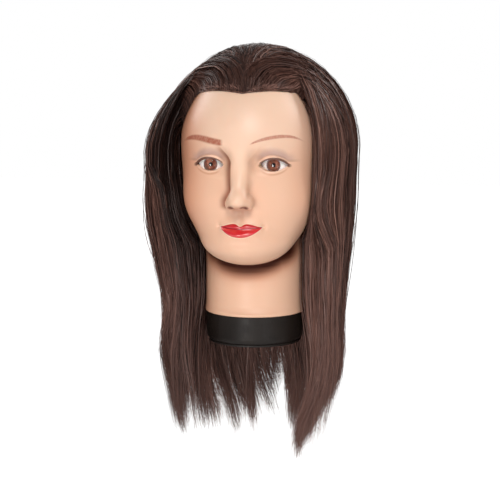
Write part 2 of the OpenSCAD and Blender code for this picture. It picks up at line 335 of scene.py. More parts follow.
# Half width of the mouth, height of the line between the lips, and the lips' heights from it
MOUTH_W = 20.8
MOUTH_Z = 120.2
UPPER_LIP, BOW_DIP, LOWER_LIP = 4.6, 2.3, 7.8


def mouth_lines(x):
    """Heights of the line between the lips and of the outlines above and below, at x."""
    t = np.clip(np.abs(x) / MOUTH_W, 0, 1)
    line = MOUTH_Z + 1.7 * t ** 1.6
    bow = UPPER_LIP * (1 - smooth((t - 0.24) / 0.95)) - BOW_DIP * gauss(x / 3.0)
    upper = line + np.where(t < 1, bow, 0) * (1 - t ** 6)
    lower = line - LOWER_LIP * (1 - t ** 2.3)
    return line, upper, lower


def shape_mouth(p):
    """Raises the lips and the chin's pad from the face, and sinks the folds between them."""
    x, z = p[..., 0], p[..., 2]
    line, upper, lower = mouth_lines(x)
    t = np.clip(np.abs(x) / MOUTH_W, 0, 1)
    fade = 1 - t ** 3
    # 0 to 1 across each lip, away from the line between them
    up = np.clip((z - line) / np.maximum(upper - line, 0.4), 0, 1)
    down = np.clip((line - z) / np.maximum(line - lower, 0.4), 0, 1)
    # the lower lip is fullest two thirds of the way down
    pout = np.minimum(down / 0.68, (1 - down) / 0.32)
    pout = 0.45 * pout + 0.55 * np.sin(np.pi / 2 * pout)
    lips = 1.7 * fade * np.sin(np.pi * up) ** 0.8 + 3.3 * fade * pout
    mound = 2.0 * (1 - t ** 4) * gauss((z - MOUTH_Z + 2) / 9)
    parting = 1.3 * gauss((z - line) / 0.9) * (1 - smooth((np.abs(x) - MOUTH_W) / 3))
    corners = 1.2 * gauss((np.abs(x) - MOUTH_W - 1.0) / 2.2) * gauss((z - MOUTH_Z - 1.7) / 3)
    chin_fold = 1.6 * gauss((z - MOUTH_Z + 13.5) / 4.5) * gauss(x / 16)
    chin_pad = 2.4 * gauss((z - MOUTH_Z + 26) / 9) * gauss(x / 15)
    groove = 0.9 * gauss(x / 2.4) * smooth((z - upper) / 3) * smooth((140 - z) / 6)
    rise = lips + mound - parting - corners - chin_fold + chin_pad - groove
    p[..., 1] -= rise * smooth((-60 - p[..., 1]) / 10)
    return p


def shape_nostrils(p):
    """Pushes a hollow up into the underside of the nose on each side."""
    for side in (-1, 1):
        hole = np.array([side * 6.3, -92.5, 140.2])
        near = gauss(np.linalg.norm((p - hole) / np.array([2.6, 3.6, 3.2]), axis=-1))
        p += near[..., None] * np.array([0, 1.2, 2.6])
    return p


# Half width of the lids' opening, and its height above and below the eye's centre
LID_W, LID_UP, LID_DOWN = 13.7, 5.6, 5.8


def lid_edge(x, height):
    """Height of a lid's edge at x: a circular arc through both corners."""
    radius = (LID_W ** 2 + height ** 2) / (2 * abs(height))
    drop = radius - np.sqrt(np.maximum(radius ** 2 - x ** 2, 0))
    return np.sign(height) * (abs(height) - drop)


def eye_coordinates(p):
    """x away from the nose and z up, from the nearer eye's centre."""
    return np.abs(p[..., 0]) - EYE[0], p[..., 2] - EYE[2]


def shape_lids(p):
    """Sinks the crease over each upper lid."""
    x, z = eye_coordinates(p)
    front = smooth((-50 - p[..., 1]) / 8)
    crease = lid_edge(np.clip(x * 0.92, -LID_W, LID_W), LID_UP) + 3.7 - 1.2 * smooth(np.abs(x) / 14)
    within = 1 - smooth((np.abs(x) - 11) / 5)
    p[..., 1] += 0.9 * front * within * gauss((z - crease) / 0.9)
    return p


def head_grid():
    """Points on the skin, in rings from the neck's open end up to the crown."""
    # degrees between points: finest over the face
    fine = 0.4
    az = spaced(0, 180, lambda a: fine + 2.6 * smooth((a - 40) / 50))
    az = deg(np.concatenate([-az[:0:-1], az[:-1]]))
    lowest = -np.degrees(np.arctan((CORE[2] - SKIN_EDGE - 16) / NECK_R))
    el = spaced(lowest, 89.0, lambda e: fine * 0.85 + 0.9 * (smooth((e - 16) / 20) + smooth((-44 - e) / 8)))
    grid_el, grid_az = np.meshgrid(deg(el), az, indexing="ij")
    rays = aim(grid_az, grid_el)
    p = CORE + reach(CORE, rays, head_distance)[..., None] * rays
    p = shape_nostrils(shape_lids(shape_mouth(p)))
    # rings down to the neck's end, which has a bead and a lip turned in over the base
    lift = (p[0, :, 2] - SKIN_EDGE) * np.linspace(0, 1, 14)[:-1, None]
    radius = NECK_R + 0.8 * (1 - smooth(lift / 9)) - 0.7 * gauss(lift / 0.5)
    around = np.arctan2(p[0, :, 0], -p[0, :, 1])
    rings = np.stack([radius * np.sin(around), -radius * np.cos(around), SKIN_EDGE + lift], -1)
    lip_r = BASE_R - 0.5
    lip = np.stack([lip_r * np.sin(az), -lip_r * np.cos(az), np.full_like(az, SKIN_EDGE)], -1)
    return np.concatenate([lip[None], rings, p])


def mesh_object(name, points, faces):
    """A mesh object from points in millimetres and quads."""
    data = bpy.data.meshes.new(name)
    points = np.asarray(points, np.float64).reshape(-1, 3) * MM
    faces = np.asarray(faces, np.int32)
    data.vertices.add(len(points))
    data.vertices.foreach_set("co", points.ravel())
    data.loops.add(faces.size)
    data.loops.foreach_set("vertex_index", faces.ravel())
    data.polygons.add(len(faces))
    data.polygons.foreach_set("loop_start", np.arange(0, faces.size, 4, dtype=np.int32))
    data.polygons.foreach_set("loop_total", np.full(len(faces), 4, np.int32))
    data.update(calc_edges=True)
    data.validate()
    data.polygons.foreach_set("use_smooth", np.full(len(data.polygons), True))
    return add_object(name, data)


def store(obj, name, values):
    """Keeps one number for each point, for the materials to read."""
    made = obj.data.attributes.new(name, "FLOAT", "POINT")
    made.data.foreach_set("value", np.asarray(values, np.float32).ravel())


def grid_faces(rows, columns, ring=True):
    """Quads over a grid of points whose rows are closed rings, or open lines."""
    j, i = np.meshgrid(np.arange(rows - 1), np.arange(columns if ring else columns - 1), indexing="ij")
    a = j * columns + i
    b = j * columns + (i + 1) % columns
    return np.stack([a, b, b + columns, a + columns], -1).reshape(-1, 4)


def open_lids(points, faces):
    """Takes out the faces inside both lid openings, moves the edge onto the lids' outline, and
    adds a margin that turns in to the eyeball."""
    x, z = eye_coordinates(points)
    front = points[:, 1] < EYE[1]
    inside = front & (np.abs(x) < LID_W) & (z < lid_edge(x, LID_UP)) & (z > lid_edge(x, -LID_DOWN))
    kept = faces[~inside[faces].all(1)]
    # an edge with one face is on a rim; the neck's end has one too, lower down
    edges = np.stack([kept, np.roll(kept, -1, 1)], -1).reshape(-1, 2)
    _, index, counts = np.unique(np.sort(edges, 1), axis=0, return_index=True, return_counts=True)
    rim_edges = edges[index[counts == 1]]
    neck_top = 100
    above_neck = points[rim_edges][:, :, 2] > neck_top
    rim_edges = rim_edges[front[rim_edges].all(1) & above_neck.all(1)]
    rim = np.unique(rim_edges)
    rx, rz = x[rim], z[rim]
    cx = np.clip(rx, -LID_W, LID_W)
    top, bottom = lid_edge(cx, LID_UP), lid_edge(cx, -LID_DOWN)
    new_z = np.where(np.abs(rz - top) < np.abs(rz - bottom), top, bottom)
    sign = np.sign(points[rim, 0])
    points[rim, 0] = sign * (EYE[0] + cx)
    points[rim, 2] = EYE[2] + new_z
    # the margin's inner edge lies just inside the eyeball's surface
    narrower, lower = 0.97, 0.95
    inner_x, inner_z = cx * narrower, new_z * lower
    depth = np.sqrt(np.maximum(EYE_R ** 2 - inner_x ** 2 - inner_z ** 2, 4.0)) - 0.4
    inner = np.stack([sign * (EYE[0] + inner_x), EYE[1] - depth, EYE[2] + inner_z], -1)
    margin = np.concatenate([rim_edges[:, ::-1], len(points) + np.searchsorted(rim, rim_edges)], 1)
    points, faces = np.concatenate([points, inner]), np.concatenate([kept, margin])
    # points that no face uses any more are dropped
    used, numbered = np.unique(faces, return_inverse=True)
    return points[used], numbered.reshape(faces.shape)


# Brow centre lines from the nose to the temple: distance from the middle, height, half thickness
LEFT_BROW = [
    (10.2, 200.1, 0.5), (18.7, 203.7, 1.3), (29, 206.1, 1.5),
    (43, 206.8, 1.3), (51, 204.6, 1.0), (57.5, 200.2, 0.35),
]
RIGHT_BROW = [(16.5, 201.2, 2.7), (31, 203.3, 2.9), (42, 204.8, 2.6), (51, 204.2, 1.9), (62, 198.7, 0.4)]
# The skin in front of this is the face
FACE_Y = -40


def brow_marks(x, z, side):
    """How far along a brow a point is, 0 at the nose to 1 at the temple, and how far across, -1 to 1."""
    knots, heights, halves = np.array(LEFT_BROW if side > 0 else RIGHT_BROW).T
    ax = x * side
    near = np.clip(ax, knots[0], knots[-1])
    middle = (knots[0] + knots[-1]) / 2
    centre = np.polyval(np.polyfit(knots - middle, heights, 4), near - middle)
    half = np.maximum(np.polyval(np.polyfit(knots - middle, halves, 3), near - middle), 0.3)
    return (ax - knots[0]) / (knots[-1] - knots[0]), (z - centre) / half


def mark_face(head):
    """Stores where the skin's points lie on the face, for the make-up. Off the face the marks
    have values that paint nothing."""
    p = np.empty(len(head.data.vertices) * 3)
    head.data.vertices.foreach_get("co", p)
    p = p.reshape(-1, 3) / MM
    x, y, z = p[:, 0], p[:, 1], p[:, 2]
    # depth into the lips, less than 0 outside them
    line, upper, lower = mouth_lines(x)
    beyond = np.abs(x) - MOUTH_W
    lip = np.where(beyond > 0, -np.hypot(beyond, z - line) - 0.1, np.minimum(z - lower, upper - z))
    ex, ez = eye_coordinates(p)
    lid_x = np.clip(ex, -LID_W, LID_W)
    marks = {
        "lip": (np.clip(lip, -9, 9), -9),
        "lip_line": (z - line, 9),
        "over_lid": (ez - lid_edge(lid_x, LID_UP), 9),
        "under_lid": (lid_edge(lid_x, -LID_DOWN) - ez, 9),
        "eye_x": (ex, 99),
        "eye_z": (ez, 99),
        "face_x": (x, 99),
        "face_z": (z, 0),
    }
    for name, (value, off_face) in marks.items():
        store(head, name, np.where(y < FACE_Y, value, off_face))
    store(head, "sideways", x)
    # 1 on the neck close under the jaw and chin, where a shadow is painted
    mirrored = np.abs(p) * [1, 0, 0] + p * [0, 1, 1]
    to_chin = np.minimum(ellipsoid(mirrored, *JAW), ellipsoid(mirrored, *CHIN))
    below = smooth((26 - to_chin) / 20) * smooth((9 - np.abs(np.hypot(x, y) - NECK_R)) / 7)
    store(head, "chin_shade", np.where(z < 130, below, 0) * smooth((10 - y) / 40))
    for side, name in SIDES:
        along, across = brow_marks(x, z, side)
        store(head, name + "_brow_along", np.where(y < -20, np.clip(along, -1, 2), 2))
        store(head, name + "_brow_across", np.clip(across, -9, 9))


def build_head():
    """The skin, from the edge turned in at the neck's end up to the crown."""
    grid = head_grid()
    rows, columns = grid.shape[:2]
    points = np.concatenate([grid.reshape(-1, 3), [[0, CORE[1], SCALP_TOP]]])
    # a cap of quads closes the crown, each on two edges of the last ring
    last = (rows - 1) * columns + np.arange(columns)
    tip = np.full(columns, rows * columns)
    cap = np.stack([last, np.roll(last, -1), np.roll(last, -2), tip], 1)[::2]
    faces = np.concatenate([grid_faces(rows, columns), cap])
    head = mesh_object("head_vinyl", *open_lids(points, faces))
    mark_face(head)
    head.data.materials.append(skin_material())
    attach(head, "root")
    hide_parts("head_skin")


def paint_nose_shadow(s, colour):
    """Painted shadow beside the nose, crisp on the right of its bridge, and painted shade under the nose
    and in the nostrils.
    """
    x, z = s.stored("face_x", "face_z")
    # the bridge's edge bends out to the brow above and to the nostril below
    bend = s.math("ADD", s.step(z, 182, 200, 0, 11), s.step(z, 160, 145, 0, 6))
    tall = s.band(z, 136, 142, 188, 202)
    # painted shadow down each side of the bridge, much the darker on the right
    for side, depth, soft in ((-1, 0.88, 9.0), (1, 0.12, 7.0)):
        off = s.math("SUBTRACT", s.times(x, side), s.math("ADD", bend, 9.0))
        fade = s.math("POWER", s.step(off, soft, 0.2), 1.7)
        colour = s.paint(colour, rgb(150, 88, 62), s.step(off, -2.0, -0.2), fade, tall, depth)
    # painted shade under the nose
    near = s.step(s.size(x), 12, 6, 0, 0.5)
    colour = s.paint(colour, rgb(176, 108, 80), s.band(z, 130, 139, 141, 146), near)
    # painted shade in the nostrils
    across = s.math("POWER", s.size(s.math("SUBTRACT", s.size(x), 6.3)), 2)
    above = s.math("POWER", s.size(s.math("SUBTRACT", z, 141.5)), 2)
    far = s.math("ADD", s.times(across, 0.09), s.times(above, 0.25))
    return s.paint(colour, rgb(104, 52, 38), s.step(far, 1.7, 0.2, 0, 0.85))


def bare_skin(s):
    """Skin before make-up: painted light makes it paler on the forehead, a painted highlight runs down the
    nose's bridge, and painted shade makes it warmer and darker at the sides.
    """
    x, z, sideways = s.stored("face_x", "face_z", "sideways")
    colour = s.mix(s.noise(18, 3), rgb(236, 188, 158), rgb(240, 195, 166))
    # painted light: paler higher up the face
    colour = s.paint(colour, rgb(243, 205, 179), s.step(z, 168, 214))
    # painted highlight down the nose's bridge
    bridge = s.times(s.step(s.size(x), 9, 4), s.step(z, 138, 150), s.step(z, 206, 190, 0, 0.7))
    colour = s.paint(colour, rgb(248, 208, 180), bridge)
    # painted shade: warmer and darker towards the sides, most on the right
    for start, stop, depth, tint in ((-12, -60, 0.75, (214, 138, 102)), (26, 64, 0.35, (222, 150, 116))):
        side_shade = s.math("POWER", s.step(sideways, start, stop), 2.2)
        colour = s.paint(colour, rgb(*tint), side_shade, depth)
    return colour


def eye_make_up(s, colour):
    """Eye shadow make-up, painted shade in the lid's crease and at the inner corner, liner, pale rim and
    lower lashes. x runs away from the nose.
    """
    over, under, x, z = s.stored("over_lid", "under_lid", "eye_x", "eye_z")
    thick = s.times(s.step(x, -12, 10, 1.2, 2.3), s.step(x, 17.5, 12, 0.1, 1))
    edge = s.step(s.math("SUBTRACT", over, thick), 0.5, -0.3)
    line = s.times(edge, s.step(over, -2.5, -1.0))
    for tint, strength, height, along in (
        ((158, 128, 130), 0.55, s.band(over, 3.0, 5.0, 6.0, 13.5), s.band(x, -19, -9, 10, 23)),
        # painted shade in the crease over the lid
        ((142, 92, 74), 0.34, s.band(over, 2.4, 3.3, 3.8, 6.2), s.band(x, -9, 4, 15, 26)),
        # painted shade in the socket at the inner corner
        ((160, 105, 75), 0.35, s.band(z, -4, 3, 6, 12), s.band(x, -20, -12, -11, -6)),
        ((86, 42, 28), 0.9, line, s.band(x, -13.2, -11.5, 14, 17.5)),
        ((250, 222, 196), 0.2, s.band(under, -0.2, 0.1, 0.8, 1.6), s.band(x, -13, -10, 10, 14)),
        ((190, 122, 84), 0.42, s.band(under, 1.3, 2.2, 2.6, 4.4), s.band(x, -12, -7, 9, 16)),
    ):
        colour = s.paint(colour, rgb(*tint), height, along, strength)
    return colour


def brow_paint(s, colour):
    """Brows painted in fine strokes, the right one darker."""
    for side, tint in (("left", (190, 124, 104)), ("right", (166, 84, 58))):
        along, across = s.stored(side + "_brow_along", side + "_brow_across")
        ends = s.band(along, -0.03, 0.06, 0.8, 1.02)
        body = s.band(across, -1.4, -0.6, 0.6, 1.4)
        strokes = s.step(s.noise(900, 2, (1, 1, 0.35)), 0.35, 0.6, 0.78, 1.0)
        colour = s.paint(colour, rgb(*tint), ends, body, strokes, 0.9)
    return colour


def lip_paint(s):
    """Red, with painted shade: darker on the upper lip, which faces down, and darkest between the lips."""
    line, = s.stored("lip_line")
    # painted shade in the parting between the lips
    colour = s.paint(rgb(222, 30, 40), rgb(90, 5, 15), s.band(line, -0.7, 0.0, 0.0, 0.7), 0.8)
    # painted shade on the upper lip
    return s.paint(colour, rgb(160, 14, 27), s.step(line, 0.0, 1.5, 0, 0.3))


def skin_material():
    """Painted vinyl, with glossy lips and a painted shadow on the neck under the chin."""
    s = Shader("vinyl_skin")
    lip, below = s.stored("lip", "chin_shade")
    lips = s.step(lip, -0.15, 0.2)
    colour = s.paint(bare_skin(s), rgb(248, 212, 186), s.band(lip, -1.3, -0.5, -0.3, 0.1))
    colour = brow_paint(s, eye_make_up(s, paint_nose_shadow(s, colour)))
    # painted shadow under the chin: warm and dark, near black close under the jaw
    colour = s.paint(colour, rgb(184, 94, 56), below, 0.66)
    colour = s.paint(colour, rgb(50, 10, 3), s.math("POWER", below, 3.0), 0.97)
    s.principled(
        Base_Color=s.mix(lips, colour, lip_paint(s)),
        Roughness=s.mix(lips, grey(0.42), grey(0.2)),
        Coat_Weight=lips,
        Coat_Roughness=0.09,
        Specular_IOR_Level=s.math("ADD", s.step(below, 0.1, 0.6, 0.5, 0.08), s.times(lips, 0.35)),
        Subsurface_Weight=0.12,
        Subsurface_Radius=(0.6, 0.3, 0.2),
        Subsurface_Scale=0.004,
        Normal=s.bump(s.noise(700, 3), 0.05, 0.0004),
    )
    return s.material


# ------------ eyes, base and inner parts

def eye_white_material():
    """White acrylic with faint veins, and a slight glow of painted light against the lids' deep shade."""
    s = Shader("eye_acrylic")
    veins = s.step(s.noise(900, 4, (1, 0.3, 1)), 0.62, 0.75, 0, 0.12)
    s.principled(
        Base_Color=s.mix(veins, rgb(243, 240, 238), rgb(200, 120, 110)),
        Roughness=0.12,
        Subsurface_Weight=0.1,
        Subsurface_Scale=0.002,
        # painted light: a faint glow that lifts the whites out of the lids' shade
        Emission_Color=grey(1),
        Emission_Strength=0.09,
    )
    return s.material


def iris_material(side):
    """A printed iris: streaks that run out from a dark pupil, within a darker ring."""
    s = Shader("iris_print")
    full = IRIS_R * MM
    flat = s.vector("MULTIPLY", s.node("TexCoord").outputs["Object"], (1, 0, 1))
    offset = s.vector("SUBTRACT", flat, (side * EYE[0] * MM, 0, EYE[2] * MM))
    radius = s.vector("LENGTH", offset, out="Value")
    streak = s.noise(9, 3, vector=s.vector("NORMALIZE", offset))
    colour = s.mix(s.step(streak, 0.3, 0.7), rgb(255, 138, 102), rgb(255, 198, 164))
    for tint, start, stop, depth in (
        ((178, 84, 60), 0.82, 0.97, 0.8), ((200, 104, 78), 0.62, 0.34, 0.2), ((14, 8, 8), 0.34, 0.29, 1),
    ):
        colour = s.paint(colour, rgb(*tint), s.step(radius, full * start, full * stop, 0, depth))
    s.principled(Base_Color=colour, Roughness=0.5)
    return s.material


def cornea_material():
    """Clear acrylic: it lets light straight through and reflects more towards its edge."""
    s = Shader("cornea_acrylic")
    gloss = s.node("BsdfGlossy", {"Roughness": s.step(s.noise(60, 1), 0, 1, 0.02, 0.05)}).outputs[0]
    clear = s.node("BsdfTransparent", {"Color": (0.98, 0.97, 0.97, 1)}).outputs[0]
    facing = s.node("Fresnel", {"IOR": 1.5}).outputs[0]
    both = s.node("MixShader", {0: facing, 1: clear, 2: gloss}).outputs[0]
    s.tree.links.new(both, s.tree.nodes["Material Output"].inputs["Surface"])
    return s.material


def plastic_material(name, low, high, roughness):
    """Moulded plastic: a clouded colour from low to high, with a fine grain."""
    s = Shader(name)
    s.principled(
        Base_Color=s.mix(s.step(s.noise(35, 4), 0.3, 0.7), low, high),
        Roughness=s.step(s.noise(240, 3), 0.3, 0.7, roughness - 0.05, roughness + 0.07),
        Specular_IOR_Level=0.3,
        Normal=s.bump(s.noise(1600, 3), 0.12, 0.0003),
    )
    return s.material


def foam_material():
    """Rigid foam with small cells."""
    s = Shader("foam")
    cells = s.node("TexVoronoi", {"Vector": s.node("TexCoord").outputs["Object"], "Scale": 900})
    height = cells.outputs["Distance"]
    colour = s.mix(height, rgb(206, 186, 132), rgb(238, 222, 176))
    s.principled(Base_Color=colour, Roughness=0.9, Normal=s.bump(height, 0.6, 0.0006))
    return s.material


def seal_material():
    """Uneven glue, as a brush leaves it."""
    s = Shader("root_glue")
    colour = s.mix(s.noise(50, 4), rgb(196, 184, 160), rgb(222, 214, 196))
    s.principled(Base_Color=colour, Roughness=0.35, Normal=s.bump(s.noise(160, 3), 0.3, 0.0008))
    return s.material


def dress_parts():
    """Gives each CAD node that stays in the picture its material."""
    socket = plastic_material("socket_plastic", rgb(34, 33, 32), rgb(46, 45, 44), 0.36)
    white, cornea = eye_white_material(), cornea_material()
    looks = {
        "neck_base": plastic_material("base_plastic", rgb(24, 18, 15), rgb(32, 25, 21), 0.46),
        "clamp_socket": socket,
        "socket_cap": socket,
        "foam_core": foam_material(),
        "root_seal": seal_material(),
    }
    for side, name in SIDES:
        looks[name + "_eye_white"] = white
        looks[name + "_iris"] = iris_material(side)
        looks[name + "_cornea"] = cornea
    for name, material in looks.items():
        NODES[name].material_slots[0].material = material


# ------------ hair

# Thickness of the hair over the crown
HAIR_TOP_T = node_box("hair_crown")[1][2] - SCALP_TOP
# Angles round of the side hair's back edge, and of its front edge on each side
SIDE_AZ = deg(102)
FRONT_AZ = {1: deg(50), -1: deg(58)}
# Space between the skin and the lowest hair
GAP = 1.5
# Height at which strands begin to draw together into locks
GATHER_Z = 40
# Locks of each piece of hair, whose strands sway alike
LOCKS = 48
# No strand ends below this height
LOWEST = -125.5
# Tone of the dark sheets of painted shade under the hair, lower than nearly every strand's
SHADE_SHEET_TONE = -2.0
FEWER = 1

# Height and half width of the falling hair: the mannequin's right side, its left side and its back
RIGHT_FALL = [
    (-105, 78), (-72, 88), (-13, 96), (17, 92), (37, 90),
    (66, 95), (96, 101.5), (116, 105.5), (140, 107.5), (175, 106),
]
LEFT_FALL = [(-105, 82), (-49, 83), (-9, 87), (20, 85), (70, 86.5), (100, 88.5), (150, 91), (175, 93)]
BACK_FALL = [(-105, 72), (-60, 80), (-10, 86), (45, 92), (100, 102), (150, 109), (175, 110)]

# Radius of the skin round the core, by angle round and up, and of the neck and jaw by height
AZ_STEPS = np.linspace(-np.pi, np.pi, 181)
EL_STEPS = np.linspace(-0.8, np.pi / 2, 72)
Z_STEPS = np.linspace(58, CORE[2], 48)
SKIN_BY_EL = reach(CORE, aim(AZ_STEPS[:, None], EL_STEPS[None]), head_distance)
AXIS_POINTS = np.stack([0 * Z_STEPS, 0 * Z_STEPS + CORE[1], Z_STEPS], -1)[None]
SKIN_BY_Z = reach(AXIS_POINTS, aim(AZ_STEPS[:, None], 0 * Z_STEPS[None]), head_distance)


def look_up(table, steps, az, y):
    """Value of a table at any angle round and any y, by bilinear interpolation."""
    az = (az + np.pi) % (2 * np.pi) - np.pi
    i = np.clip((az - AZ_STEPS[0]) / (AZ_STEPS[1] - AZ_STEPS[0]), 0, len(AZ_STEPS) - 1.001)
    j = np.clip((y - steps[0]) / (steps[1] - steps[0]), 0, len(steps) - 1.001)
    a, b = i.astype(int), j.astype(int)
    s, t = i - a, j - b
    low = table[a, b] * (1 - s) + table[a + 1, b] * s
    high = table[a, b + 1] * (1 - s) + table[a + 1, b + 1] * s
    return low * (1 - t) + high * t


def fall_radius(az, z):
    """Radius of the hair's outer face below the eyes."""
    right, left, back = (np.interp(z, *np.array(f).T) for f in (RIGHT_FALL, LEFT_FALL, BACK_FALL))
    side = np.where(az < 0, right, left)
    t = smooth((np.abs(az) - deg(70)) / deg(80))
    return side * (1 - t) + back * t


def hairline_el(az):
    """How high the hairline lies: it dips at its middle and runs down at the temples."""
    a = np.abs(np.degrees(az))
    corner, bend = np.where(az < 0, 50, 43), np.where(az < 0, 13, 18)
    up = 44 + 3.5 * np.sin(deg(np.minimum(90, a * 2.4))) - 24 * smooth((a - corner) / bend)
    return deg(up)


def past_front(az):
    """How far round, in radians, a direction is behind the hair's front edge on its side."""
    return np.abs(az) - np.where(az > 0, FRONT_AZ[1], FRONT_AZ[-1])


def on_head(way, layer):
    """Point in the hair over the head, in a direction from the core. Layer 0 is the skin, 1 the top."""
    az, el = np.arctan2(way[..., 0], -way[..., 1]), np.arcsin(np.clip(way[..., 2], -1, 1))
    full = fall_radius(az, CORE[2]) - look_up(SKIN_BY_EL, EL_STEPS, az, az * 0)
    side = smooth((np.abs(az) - deg(20)) / deg(40))
    lift = 0.25 + 0.75 * smooth((el - hairline_el(az)) / deg(16))
    lift += (1 - lift) * smooth((past_front(az) + deg(15)) / deg(21))
    flare = np.maximum(np.cos(el), 0) ** np.where(az < 0, 4.8, 1.8)
    thick = (HAIR_TOP_T + (full - HAIR_TOP_T) * side * flare) * lift
    radius = look_up(SKIN_BY_EL, EL_STEPS, az, el) + GAP * (1 - layer) + thick * layer
    return CORE + radius[..., None] * way


def falling(az, z, layer):
    """Point in the hair that hangs below the eyes."""
    inner = look_up(SKIN_BY_Z, Z_STEPS, az, z) + GAP + 6 * smooth((60 - z) / 60)
    front = 0.62 + 0.38 * smooth(past_front(az) / deg(22))
    outer = inner + np.maximum(fall_radius(az, z) - inner, 8) * front
    blend_in = smooth((CORE[2] - z) / 25)
    outer = outer * blend_in + np.maximum(fall_radius(az, z), inner) * (1 - blend_in)
    radius = inner + (outer - inner) * layer
    return np.stack([radius * np.sin(az), CORE[1] - radius * np.cos(az), z], -1)


def gather(p, hold=1.0):
    """The left side's ends draw together into a lock, by their hold, and the back's drift left."""
    back = smooth((p[..., 1] - 15) / 25)
    drift = 9 + 13 * smooth((-12 - p[..., 0]) / 35)
    p[..., 0] += drift * smooth((10 - p[..., 2]) / 120) * back
    low = smooth((-26 - p[..., 2]) / 84)
    left = smooth((p[..., 0] - 2 + 15 * back) / 12) * low * 0.61 * hold
    p[..., 0] += (31 - p[..., 0]) * left
    p[..., 1] += (-5 - p[..., 1]) * left * 0.5
    return p


def tuck(az, z):
    """On the left the front edge of the hair draws back beside the jaw and neck."""
    near = 1 - smooth(past_front(az) / 0.5)
    return az + np.where(az > 0, 0.25 * near * smooth((140 - z) / 50), 0)


def wander(rng, count, t, size):
    """A slow random wave along each strand."""
    phase = rng.uniform(0, 2 * np.pi, (2, count, 1))
    rate = rng.uniform([[[1.5]], [[4.0]]], [[[3.5]], [[7.0]]], (2, count, 1))
    return size * (np.sin(rate[0] * t + phase[0]) + 0.4 * np.sin(rate[1] * t + phase[1]))


def unit(v):
    """Vectors of length 1."""
    return v / (np.linalg.norm(v, axis=-1, keepdims=True) + 1e-9)


def ribbons(paths, out, width, roll):
    """A flat tapered ribbon along each path, facing out and turned by its own roll."""
    count, steps = paths.shape[:2]
    along = unit(np.gradient(paths, axis=1))
    across = unit(np.cross(along, out))
    other = np.cross(along, across)
    across = across * np.cos(roll)[..., None] + other * np.sin(roll)[..., None]
    t = np.linspace(0, 1, steps)
    taper = np.minimum(1, (1 - t) * 3.2 + 0.12)
    half = (width[:, None] * taper)[..., None] * across / 2
    points = np.stack([paths - half, paths + half], 2).reshape(-1, 3)
    start = (np.arange(count) * steps * 2)[:, None] + np.arange(steps - 1) * 2
    faces = np.stack([start, start + 1, start + 3, start + 2], -1).reshape(-1, 4)
    return points, faces, np.broadcast_to(t, (count, steps))


def strand_paths(rng, over, root, via, fall_az, layer, tip_z, clump, pull, lock):
    """Long strands: over the head from a root, bent towards a direction via, then down to a tip.
    over counts the points on the head. clump is what each strand's end is pulled towards: angle
    round, layer, lean and height of the tip. Strands with the same lock sway alike."""
    count = len(root)
    clump_az, clump_layer, lean, low_z = clump
    # over the head, along a cubic curve of directions
    t = np.linspace(0, 1, over)[None, :, None]
    root_el = np.arcsin(np.clip(root[:, 2], -1, 1))
    above = aim(fall_az, np.minimum(deg(34), root_el * 0.55))
    end = aim(fall_az, 0)
    way = ((1 - t) ** 3 * root[:, None] + 3 * t * (1 - t) ** 2 * via[:, None]
           + 3 * t ** 2 * (1 - t) * above[:, None] + t ** 3 * end[:, None])
    flat_t = t[..., 0]
    turn = wander(rng, LOCKS, flat_t, 0.012)[lock] + wander(rng, count, flat_t, 0.006)
    turn = turn * np.sin(np.pi * flat_t)
    way += turn[..., None] * np.cross(way, aim(fall_az, 0.7)[:, None])
    way = unit(way)
    # up from under the skin to the strand's layer within a short turn
    turned = np.arccos(np.clip((root * end).sum(-1), -1, 1))[:, None] / 0.15
    rise = (1 - np.exp(-flat_t * turned)) / (1 - np.exp(-turned))
    head = on_head(way, layer[:, None] * rise - 0.03 * (1 - rise))
    # down to the tip, drawn in to the clump's line
    u = np.linspace(0, 1, 16)[None, 1:]
    z = CORE[2] + (tip_z[:, None] - CORE[2]) * u
    w = pull[:, None] * smooth((GATHER_Z - z) / (GATHER_Z - low_z[:, None]))
    az = fall_az[:, None] + (clump_az - fall_az)[:, None] * w
    az += (lean + rng.normal(0, 0.05, count))[:, None] * smooth((60 - z) / 160)
    sway = wander(rng, LOCKS, 2.2 * u, 0.012)[lock] + wander(rng, count, 2.6 * u, 0.006)
    az += sway * (0.2 + u) * (1 - 0.6 * w)
    depth = layer[:, None] + (clump_layer - layer)[:, None] * w
    depth = depth + wander(rng, count, 3 * u, 0.06) * u
    hang = gather(falling(tuck(az, z), z, depth), np.minimum(1, pull + 0.15)[:, None])
    hang += rng.normal(0, 3.0, (count, 1, 3)) * (u ** 5)[..., None]
    hang[..., 2] = np.maximum(hang[..., 2], LOWEST)
    # ribbons face out, and at the front edge they turn to the front
    facing = np.concatenate([way, aim(az, 0)], 1)
    facing[:, over:, 1] -= 1.3 * (1 - smooth(past_front(az) / deg(20)))
    return np.concatenate([head, hang], 1), facing


def tone(az, seed):
    """Light and dark streaks round the head, from about -1 to 1."""
    waves = [(9, 1.0), (17, 0.8), (31, 0.8), (57, 0.7)]
    return sum(a * np.sin(f * az + seed * (f + 1.3)) for f, a in waves) / 3.3


def hair_mesh(name, parts, replaces):
    """One piece of hair. Each part is points, faces, tones and places along the strands."""
    points, faces, tones, places = zip(*parts)
    starts = np.cumsum([0] + [len(p) for p in points])
    faces = [f + start for f, start in zip(faces, starts)]
    piece = mesh_object(name, np.concatenate(points), np.concatenate(faces))
    store(piece, "tone", np.concatenate(tones))
    store(piece, "place", np.concatenate(places))
    piece.data.materials.append(HAIR_MATERIAL)
    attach(piece, "root")
    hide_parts(replaces)


